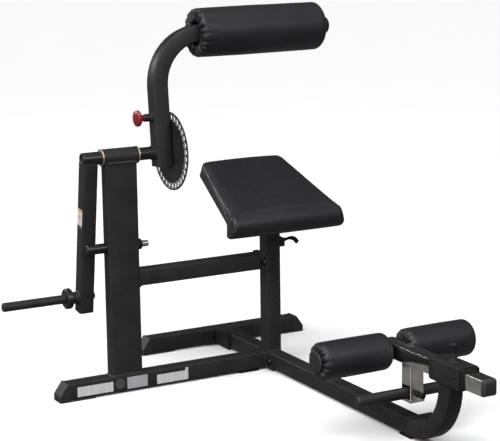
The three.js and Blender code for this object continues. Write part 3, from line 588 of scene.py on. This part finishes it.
def bolster(name, node, body, span, radius, centre, ends, seed, matrix=FLAT, crown=1.0):
    """A roller's cover, drawn in at both ends. Each end is a dict of its folds and its shape."""
    rng = random.Random(seed)
    sides, straight = 288, 40
    left, right = span
    folds = [Folds(rng, end["folds"], end["depth"], end["run"]) for end in ends]
    profiles = [end_profile(radius, e["corner"], e["mouth"], e["tuck"]) for e in ends]
    stations = [(left + d, r) for d, r in profiles[0]]
    start, stop = left + ends[0]["corner"], right - ends[1]["corner"]
    for i in range(1, straight):
        share = i / straight
        stations.append((start + (stop - start) * share, radius + crown * math.sin(math.pi * share)))
    stations += [(right - d, r) for d, r in reversed(profiles[1])]

    rings = []
    for x, r in stations:
        ring = []
        for k in range(sides):
            angle = 2 * math.pi * k / sides
            sunk, pushed = 0.0, 0.0
            for side, end, edge in ((folds[0], ends[0], left), (folds[1], ends[1], right)):
                away = abs(x - edge)
                depth = side.at(angle, away)
                up_the_face = min(1.0, max(0.0, (r - end["mouth"]) / (radius - end["mouth"])))
                sunk += depth * up_the_face ** 2 * (1 - 0.62 * up_the_face)
                face = max(0.0, 1 - away / 14) * math.sin(math.pi * min(1.0, 0.2 + 0.75 * up_the_face))
                pushed += (1 if edge == left else -1) * depth * face
            soft = noise.noise(Vector((x * 0.011 + seed, 1.2 * math.cos(angle), 1.2 * math.sin(angle))))
            reach = r - sunk + 0.6 * soft
            turned_out = Vector((x + pushed, reach * math.cos(angle), reach * math.sin(angle)))
            ring.append(Vector(centre) + turned_out)
        rings.append(ring)
    build = Build()
    build.loft(rings, closed=True)
    piece = build.piece(name, VINYL, body, "vinyl", matrix, 180)
    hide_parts(node)
    return piece


def seam(name, points, surface, body, radius=0.7, sides=8):
    """A sewn seam laid on a surface: a thin welt between two ends."""
    tree = BVHTree.FromObject(surface, bpy.context.evaluated_depsgraph_get())
    inverse = surface.matrix_world.inverted()
    turn = surface.matrix_world.to_3x3()
    landed = []
    for point in points:
        spot, normal, _, _ = tree.find_nearest(inverse @ point)
        landed.append((surface.matrix_world @ spot, (turn @ normal).normalized()))
    last = len(landed) - 1
    rings = []
    for i, (spot, normal) in enumerate(landed):
        tangent = (landed[min(i + 1, last)][0] - landed[max(i - 1, 0)][0]).normalized()
        side = tangent.cross(normal).normalized()
        ring = []
        for k in range(sides):
            angle = 2 * math.pi * k / sides
            ring.append(spot + (side * math.cos(angle) + normal * math.sin(angle)) * radius * MM)
        rings.append(ring)
    build = Build()
    build.loft(rings)
    build.piece(name, VINYL, body, "vinyl", Matrix.Identity(4), 60)


def applied(obj):
    """Makes the object's modifiers real."""
    bpy.context.view_layer.update()
    shown = obj.evaluated_get(bpy.context.evaluated_depsgraph_get())
    mesh = bpy.data.meshes.new_from_object(shown)
    obj.modifiers.clear()
    obj.data = mesh


# The CAD seat: thickness, half length, radius of the rolled front, half widths behind and in front
SEAT_THICK, SEAT_HALF, SEAT_ROLL, SEAT_BACK, SEAT_FRONT = 46, 158, 37, 133, 190

# The cushion over it: the covering adds a little to each side, and the front roll bulges
CUSHION_BACK = SEAT_HALF + 6
CUSHION_SIDE_FRONT, CUSHION_SIDE_BACK = 1, 12
ROLL_BULGE = 4
CUSHION_CORNER = 26     # radius of the two rear corners, from above
BACK_EDGE = 13          # radius of the upper rear edge
NOSE_DEPTH = 2 * SEAT_ROLL - SEAT_THICK     # how far the roll hangs below the slab
NOSE_LENGTH = 26
CROWN = 7
HELD_BAND = 4           # the underside's vertices within this height are held in the simulation
PUFF = 2.5              # most that the simulation may move the cover
CLOTH_FRAMES = 20
CLOTH = dict(
    quality=6, mass=0.02, tension_stiffness=15, compression_stiffness=15, shear_stiffness=10,
    bending_stiffness=0.5, use_pressure=True, uniform_pressure_force=14,
)


def inflate(cushion):
    """Blows the cushion's cover up with a cloth simulation, with its underside held."""
    held = cushion.vertex_groups.new(name="held")
    local = SEAT.inverted()
    for vertex in cushion.data.vertices:
        if abs((local @ vertex.co).z + SEAT_THICK) < HELD_BAND:
            held.add([vertex.index], 1.0, "REPLACE")
    before = [vertex.co.copy() for vertex in cushion.data.vertices]
    cloth = cushion.modifiers.new("cloth", "CLOTH")
    for setting, value in CLOTH.items():
        setattr(cloth.settings, setting, value)
    cloth.settings.effector_weights.gravity = 0
    cloth.settings.vertex_group_mass = held.name
    cloth.point_cache.frame_start, cloth.point_cache.frame_end = 1, CLOTH_FRAMES
    for step in range(1, CLOTH_FRAMES + 1):
        bpy.context.scene.frame_set(step)
    applied(cushion)
    most = PUFF * MM
    for vertex, start in zip(cushion.data.vertices, before):
        moved = vertex.co - start
        if moved.length > 0:
            vertex.co = start + moved.normalized() * most * (1 - math.exp(-moved.length / most))
    bpy.context.scene.frame_set(1)


def cushion_half_width(y):
    """Half the cushion's width at y, on its tapering sides."""
    along = y + SEAT_HALF
    spread = SEAT_BACK + CUSHION_SIDE_BACK - SEAT_FRONT
    half = SEAT_FRONT + CUSHION_SIDE_FRONT + spread * max(0.0, along) / (2 * SEAT_HALF)
    return half + ROLL_BULGE * max(0.0, 1 - along / 24)


def seat_stations():
    """The cushion from front to back: its y, half width, top and underside."""
    rows = []
    roll_rows = 11
    for i in range(roll_rows):
        angle = math.pi - math.pi / 2 * (i + 0.25) / roll_rows
        reach = SEAT_ROLL * math.sin(angle)
        half = SEAT_FRONT + CUSHION_SIDE_FRONT + ROLL_BULGE
        rows.append((-SEAT_HALF + SEAT_ROLL * math.cos(angle), half, -SEAT_ROLL + reach, -SEAT_ROLL - reach))
    corner_start = CUSHION_BACK - CUSHION_CORNER
    slab_rows, corner_rows = 46, 14
    for i in range(slab_rows):
        y = -SEAT_HALF + (corner_start + SEAT_HALF) * i / slab_rows
        nose = NOSE_DEPTH * max(0.0, 1 - (y + SEAT_HALF) / NOSE_LENGTH)
        rows.append((y, None, 0, -SEAT_THICK - nose))
    for i in range(corner_rows):
        y = corner_start + CUSHION_CORNER * math.sin(math.pi / 2 * i / (corner_rows - 0.6))
        past = max(0.0, y - CUSHION_BACK + BACK_EDGE)
        drop = BACK_EDGE - math.sqrt(BACK_EDGE ** 2 - past ** 2)
        rows.append((y, None, -drop, -SEAT_THICK + drop * 0.3))
    stations = []
    for y, half, top, under in rows:
        past = max(0.0, y - corner_start)
        inset = CUSHION_CORNER - math.sqrt(max(0.0, CUSHION_CORNER ** 2 - past ** 2))
        stations.append((y, (half or cushion_half_width(y)) - inset, top, under))
    return stations


def quarter(x, z, radius, start, steps):
    """Points clockwise round a quarter circle, from an angle given in quarter turns."""
    angles = [math.pi / 2 * (start - i / steps) for i in range(steps)]
    return [(x + radius * math.cos(a), z + radius * math.sin(a)) for a in angles]


def seat_ring(y, half, top, under):
    """One section of the cushion, across: rounded along its top edges and crowned in the middle."""
    tall = top - under
    upper, lower = min(14, tall * 0.48), min(5, tall * 0.3)
    side = tall - upper - lower
    flat, upright = 30, 6
    ring = [(-half + upper + 2 * (half - upper) * i / flat, top) for i in range(flat)]
    ring += quarter(half - upper, top - upper, upper, 1, 7)
    ring += [(half, top - upper - side * i / upright) for i in range(upright)]
    ring += quarter(half - lower, under + lower, lower, 0, 4)
    ring += [(half - lower - 2 * (half - lower) * i / flat, under) for i in range(flat)]
    ring += quarter(-half + lower, under + lower, lower, -1, 4)
    ring += [(-half, under + lower + side * i / upright) for i in range(upright)]
    ring += quarter(-half + upper, top - upper, upper, 2, 7)
    crown = CROWN * math.cos(math.pi / 2 * min(1, abs(y) / (SEAT_HALF + 60))) ** 0.6
    raised = []
    for x, z in ring:
        lift = crown * max(0.0, 1 - (x / half) ** 2) ** 0.8 if z > top - upper * 0.6 else 0
        raised.append(Vector((x, y, z + lift)))
    return raised


def make_seat():
    build = Build()
    build.loft([seat_ring(*station) for station in seat_stations()])
    cushion = build.piece("seat_cushion", VINYL, "seat", "vinyl", SEAT, 180)
    inflate(cushion)
    finer = cushion.modifiers.new("finer", "SUBSURF")
    finer.levels = finer.render_levels = 1
    applied(cushion)
    for polygon in cushion.data.polygons:
        polygon.use_smooth = True
    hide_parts("seat_pad")
    seam("seat_seam", seat_seam_path(), cushion, "seat")


def seat_seam_path():
    """Where the top panel meets the sides: round one end of the roll, round the back and down."""
    beyond, corner_radius = 4, 12       # the seam lands on the cushion from just outside the CAD seat
    round_end = []
    for i in range(29):
        angle = math.radians(262 - 172 * i / 28)
        reach = SEAT_ROLL - 3
        y = -SEAT_HALF + reach * math.cos(angle)
        round_end.append(Vector((SEAT_FRONT + beyond, y, -SEAT_ROLL + reach * math.sin(angle))))
    side = []
    for i in range(1, 96):
        share = i / 96
        x = SEAT_FRONT + (SEAT_BACK - SEAT_FRONT) * share
        side.append(Vector((x + beyond, -SEAT_HALF + 2 * SEAT_HALF * share, -5)))
    corner = []
    for i in range(9):
        angle = math.radians(90 * i / 8)
        reach = corner_radius + beyond
        x = SEAT_BACK - corner_radius + reach * math.cos(angle)
        corner.append(Vector((x, SEAT_HALF - corner_radius + reach * math.sin(angle), -6)))
    half = round_end + side[:-3] + corner
    back = [Vector((x, SEAT_HALF + beyond, -6)) for x in range(SEAT_BACK - 16, 0, -4)]
    half += back
    mirrored = [Vector((-p.x, p.y, p.z)) for p in reversed(half)]
    return [SEAT @ p for p in half + [Vector((0, SEAT_HALF + beyond, -6))] + mirrored]


def make_rollers():
    gathered = dict(folds=18, depth=15, run=60, corner=11, mouth=37, tuck=22)
    plain = dict(folds=24, depth=1.6, run=20, corner=16, mouth=25, tuck=3)
    bolster(
        "upper_roller_cover", "upper_roller", "upper_roller", (-235 - ARM_X, 192 - ARM_X), 73.4,
        (0, 0, ROLLER_UP), (gathered, plain), 5, ROLLER_ARM,
    )
    calf = machine(0, CALF_Y, CALF_Z)
    drawn = dict(folds=15, depth=10, run=44, corner=17, mouth=24, tuck=2)
    tight = dict(folds=22, depth=1.4, run=20, corner=17, mouth=24, tuck=2)
    end_cap = [
        (-0.2, 29.5), (0.8, 30.8), (2.8, 30.8), (4, 29.8), (4.6, 27.5), (4.4, 25), (5, 20), (5.2, 12),
        (5.4, 1),
    ]
    for side, span, seed in (("left", (-251, -28), 11), ("right", (28, 251), 23)):
        bolster(
            f"calf_cover_{side}", f"calf_roller_{side}", f"calf_{side}", span, 52.4, (0, 0, 0),
            (drawn, tight), seed, calf, 0.8,
        )
        out = -1 if side == "left" else 1
        turned(
            f"calf_end_cap_{side}", (out * 253.3, 0, 0), (out, 0, 0), end_cap,
            64, CAP_PLASTIC, f"calf_{side}", "black_plastic", calf, 35,
        )


# ---------------------------------------------------------------- fasteners, welds and stickers


def line_weld(name, start, end, outward, along, size, body, matrix=FLAT):
    start, end = Vector(start), Vector(end)
    count = max(4, round((end - start).length / 1.4))
    path = [(start.lerp(end, i / count), Vector(outward)) for i in range(count + 1)]
    return weld(name, path, along, size, body, False, matrix)


def both_signs():
    return (("left", -1), ("right", 1))


def make_welds():
    square_weld("weld_upright_foot", (-506, 0, TUBE_TOP), "z", 0, "frame", 4, (50, 20))
    square_weld("weld_sleeve", (0, -972.5, 197), "-z", 25, "frame", 4)
    square_weld("weld_crossbar", (-456, 0, CROSSBAR_Z), "x", 0, "frame", 5, (20.5, 25))
    for side, sign in both_signs():
        y = 25 * sign
        out = (0, sign, 0)
        line_weld(f"weld_crossbar_flange_{side}", (-37.3, y, 325), (-37.3, y, 370), out, -X, 4.5, "frame")
        line_weld(f"weld_foot_flange_{side}", (-31.3, y, 8), (-31.3, y, 52), out, -X, 4.5, "frame")
        line_weld(f"weld_seat_post_{side}", (-22, y, TUBE_TOP), (22, y, TUBE_TOP), out, Z, 4, "frame")
        line_weld(f"weld_housing_{side}", (-553, sign * 20, 702), (-459, sign * 20, 702), out, Z, 5, "frame")
        bracket = (25, sign * 11, 386), (25, sign * 11, 410)
        line_weld(f"weld_lever_bracket_{side}", *bracket, out, X, 2.5, "frame")
        line_weld(f"weld_arm_axle_{side}", (-20, 17 * sign, -13), (20, 17 * sign, -13), (0, -sign, 0), Z, 5,
                  "lever", WEIGHT_ARM)
        x = 31.3 * sign
        line_weld(f"weld_rear_cheek_{side}", (x, 305.7, 6), (x, 305.7, 50), (sign, 0, 0), -Y, 4, "frame")
        face = -506 + 50 * sign
        round_weld(f"weld_housing_end_{side}", (face, 0, PIVOT_Z), X * sign, 24.6, "frame", 4, arc=(36, 144))
    line_weld("weld_beam_flange", (25, -802, 9), (25, -802, 51), (1, 0, 0), Y, 4.5, "frame")
    line_weld("weld_leg_flange", (25, -814.3, 9), (25, -814.3, 51), (1, 0, 0), -Y, 4.5, "frame")
    round_weld("weld_post_hub", (-22.5, 0, -431), -X, 18, "lever", 4, WEIGHT_ARM)
    round_weld("weld_arm_pin", (-25, 0, DISC_CIRCLE), -X, 14, "roller_arm", 2.5, ROLLER_ARM)
    round_weld("weld_leg_pin", (0, -985, 259), Z, 14, "frame", 2.5)


def make_disc_rings():
    """A pale rim round each hole of the selector disc, on the side that faces the roller arm."""
    rims = Build()
    sides = 24
    for i in range(DISC_HOLES):
        turn = 2 * math.pi * i / DISC_HOLES
        middle = Vector((0, DISC_CIRCLE * math.sin(turn), DISC_CIRCLE * math.cos(turn)))
        rings = []
        for x, r in ((27.9, 6.8), (27.9, 9), (28.1, 9), (28.1, 6.8)):
            ring = []
            for k in range(sides):
                angle = 2 * math.pi * k / sides
                ring.append(middle + Vector((x, r * math.cos(angle), r * math.sin(angle))))
            rings.append(ring)
        rims.loft(rings, closed=True)
    rims.piece("disc_hole_rims", RIM_WHITE, "lever", None, ROLLER_ARM, 40)


def make_bolts():
    spots = []
    for y in (-48, 30):
        spots.append(("foot", (-31.3, y, TUBE_MID), -X, 0))
    for y in (-34, 34):
        spots.append(("crossbar_nut", (-37.3, y, CROSSBAR_Z), -X, 0))
        spots.append(("crossbar", (-24, y, CROSSBAR_Z), X, 0))
    for z in (16, 48):
        spots.append(("leg", (44, -814.3, z), -Y, 0))
        spots.append(("leg_nut", (44, -802, z), Y, 9))
    for x in (-52, 52):
        spots.append(("rear", (x, 305.7, TUBE_MID), -Y, 0))
    for number, (name, at, direction, end) in enumerate(spots):
        build = Build()
        across, thread = (11, 3.5) if name == "crossbar" else (16, 5)
        bolt(build, at, direction, across, thread, end)
        build.piece(f"bolt_{name}_{number}", ZINC_BLACK, "frame", "zinc")
    for number, (x, y) in enumerate(((-40, -90), (40, -90), (-40, 62), (40, 62))):
        build = Build()
        bolt(build, (x, y, -61.8), -Z, 10)
        build.piece(f"bolt_seat_{number}", ZINC, "seat", "zinc", SEAT)


def make_small_parts():
    turned(
        "stop_collar", (-455.6, 2.8, 446), X, [(0, 15.4), (0.8, 16.4), (12, 16.4), (13.6, 15.2), (13.9, 9)],
        40, GLOSS_BLACK, "frame", "rubber",
    )
    turned(
        "arm_pin_sleeve", (-51, 0, DISC_CIRCLE), X, [(0, 10.6), (1, 11.6), (16, 11.6), (17, 10.6)],
        40, GLOSS_BLACK, "roller_arm", "powder_coat", ROLLER_ARM,
    )
    turned(
        "roller_cap_cover", (574.5, 0, ROLLER_UP), X,
        [(0, 24.2), (15.6, 24.4), (16.4, 23.6), (16.8, 20), (16.9, 1)],
        48, PLASTIC, "roller_arm", "black_plastic", ROLLER_ARM,
    )
    plug = [(-1, 15.4), (0, 16.2), (1.4, 16.2), (3.2, 14.6), (4.4, 10.5), (5, 5), (5.2, 0.5)]
    for side, sign in both_signs():
        turned(
            f"foot_bar_plug_{side}", (FOOT_BAR_HALF * sign, FOOT_BAR_Y, FOOT_BAR_Z), (sign, 0, 0), plug,
            40, CAP_PLASTIC, "leg_slide", "black_plastic",
        )
    screw = [(-1, 4.6), (0.9, 4.4), (1.2, 3.8), (1.2, 2.2), (0.2, 2), (0.2, 0.2)]
    for number, (y, z) in enumerate(((-930, 228), (-1032, 228))):
        for side, sign in both_signs():
            turned(
                f"guide_screw_{side}_{number}", (31 * sign, y, z), (sign, 0, 0), screw,
                24, ZINC_BLACK, "frame", "zinc",
            )


def rounded_plate(centre, u, v, half_u, half_v, normal, thick, corner):
    ring = [point for point, _ in rectangle_path(Vector(centre), u, v, half_u, half_v, corner, 4)]
    return [[p + normal * t for p in ring] for t in (0, thick)]


def sticker(name, material, centre, u, v, size, body, matrix=FLAT, thick=0.25, corner=1.5):
    normal = Vector(u).cross(Vector(v))
    build = Build()
    build.loft(rounded_plate(centre, u, v, size[0] / 2, size[1] / 2, normal, thick, corner))
    return build.piece(name, material, body, None, matrix, 30)


def make_stickers():
    front = -25.02
    sticker("foot_sticker_left", STICKER, (-615, front, 26.5), X, Z, (116, 30), "frame")
    sticker("foot_sticker_silver", SILVER_STICKER, (-477, front, 29.5), X, Z, (67, 36), "frame")
    sticker("foot_sticker_right", STICKER, (-359, front, 25.5), X, Z, (106, 29), "frame")
    sticker("foot_sticker_tab", STICKER, (-310.5, front, 44.2), X, Z, (9.5, 9.2), "frame")
    badge = [(0, 15.5), (0.5, 15.5), (0.9, 15), (0.9, 13.6), (0.6, 13.2), (0.8, 0.5)]
    turned("foot_emblem", (-534, front, 31), (0, -1, 0), badge, 48, EMBLEM, "frame", smooth=30)
    side = -22.52
    sticker("arm_sticker", STICKER, (side, 0, -184), -Y, Z, (33, 62), "lever", WEIGHT_ARM)
    sticker("arm_sticker_foot", EMBLEM, (side - 0.1, 0, -209), -Y, Z, (33, 12), "lever", WEIGHT_ARM, 0.3)
    sticker("arm_sticker_mark", BAND, (side - 0.1, 0, -176), -Y, Z, (12, 12), "lever", WEIGHT_ARM, 0.3)
    sticker("arm_sticker_band", BAND, (side - 0.1, 0, -156), -Y, Z, (33, 8), "lever", WEIGHT_ARM, 0.3)


# ---------------------------------------------------------------- stage


# Where the camera stands, and its yaw, pitch and roll in degrees
CAMERA_AT = (-2511.5, -4483.7, 1507.2)
CAMERA_TURN = (28.57, 11.37, -0.82)


def make_camera():
    yaw, pitch, roll = (math.radians(a) for a in CAMERA_TURN)
    ahead = Vector((math.sin(yaw) * math.cos(pitch), math.cos(yaw) * math.cos(pitch), -math.sin(pitch)))
    level = Vector((math.cos(yaw), -math.sin(yaw), 0))
    above = level.cross(ahead)
    right = level * math.cos(roll) + above * math.sin(roll)
    up = above * math.cos(roll) - level * math.sin(roll)
    camera = bpy.data.objects.new("camera", bpy.data.cameras.new("camera"))
    camera.matrix_world = Matrix.Translation(place(*CAMERA_AT)) @ Matrix((
        (right.x, up.x, -ahead.x, 0), (right.y, up.y, -ahead.y, 0), (right.z, up.z, -ahead.z, 0),
        (0, 0, 0, 1),
    ))
    camera.data.sensor_width = 36
    camera.data.lens = 121.2
    camera.data.shift_x, camera.data.shift_y = 0.0006, -0.0024
    camera.data.clip_end = 200
    bpy.context.scene.collection.objects.link(camera)
    bpy.context.scene.camera = camera


def add_light(kind, name, at, target, energy, size):
    data = bpy.data.lights.new(name, kind)
    data.energy = energy
    if kind == "AREA":
        data.shape, data.size = "DISK", size
    else:
        data.angle = math.radians(size)
    light = bpy.data.objects.new(name, data)
    light.location = at
    light.rotation_mode = "QUATERNION"
    light.rotation_quaternion = (Vector(target) - Vector(at)).to_track_quat("-Z", "Y")
    bpy.context.scene.collection.objects.link(light)


def make_floor():
    shader = Shader("pale_floor", Specular_IOR_Level=0.1)
    shader.colour(shader.mix(shader.noise(3), (0.90, 0.90, 0.90), (0.93, 0.93, 0.93)))
    shader.roughness(shader.remap(shader.noise(6), 0.3, 0.7, 0.8, 0.95))
    mesh = bpy.data.meshes.new("floor")
    reach = 90
    corners = [(-reach, -reach, 0), (reach, -reach, 0), (reach, reach, 0), (-reach, reach, 0)]
    mesh.from_pydata(corners, [], [(0, 1, 2, 3)])
    mesh.materials.append(shader.material)
    floor = bpy.data.objects.new("floor", mesh)
    floor.location.z = -0.0005
    bpy.context.scene.collection.objects.link(floor)
    floor.visible_diffuse = floor.visible_glossy = False


def make_sky():
    """A studio dome, brightest above the front left, with a dim fill from below the horizon."""
    world = bpy.data.worlds.new("studio")
    world.use_nodes = True
    nodes, links = world.node_tree.nodes, world.node_tree.links

    def ramp(source, low, high, to_low, to_high):
        node = nodes.new("ShaderNodeMapRange")
        for name, value in (("From Min", low), ("From Max", high), ("To Min", to_low), ("To Max", to_high)):
            node.inputs[name].default_value = value
        links.new(source, node.inputs["Value"])
        return node.outputs["Result"]

    direction = nodes.new("ShaderNodeTexCoord").outputs["Generated"]
    brightest = nodes.new("ShaderNodeVectorMath")
    brightest.operation = "DOT_PRODUCT"
    links.new(direction, brightest.inputs[0])
    brightest.inputs[1].default_value = (-0.42, -0.46, 0.78)
    height = nodes.new("ShaderNodeSeparateXYZ")
    links.new(direction, height.inputs["Vector"])
    both = nodes.new("ShaderNodeMath")
    links.new(ramp(brightest.outputs["Value"], 0.05, 0.85, 0.0, 0.86), both.inputs[0])
    links.new(ramp(height.outputs["Z"], -0.05, 0.05, 0.18, 0.04), both.inputs[1])
    links.new(both.outputs["Value"], nodes["Background"].inputs["Strength"])
    nodes["Background"].inputs["Color"].default_value = (1, 1, 1, 1)
    bpy.context.scene.world = world


def make_stage():
    make_floor()
    make_sky()
    middle = place(-100, -200, 500)
    add_light("SUN", "top_sun", place(-1500, -1500, 5200), middle, 1.75, 50)
    add_light("AREA", "left_softbox", place(-3400, -1500, 2200), middle, 60, 1.8)
    add_light("AREA", "rear_strip", place(-2600, 3400, 2300), middle, 50, 1.5)
    add_light("AREA", "front_softbox", place(600, -3800, 2600), middle, 35, 1.6)
    bpy.context.scene.view_settings.view_transform = "Standard"


# ---------------------------------------------------------------- assembly

make_camera()
finish_cad_nodes()
make_seat()
make_rollers()
make_welds()
make_disc_rings()
make_bolts()
make_small_parts()
make_stickers()
make_stage()
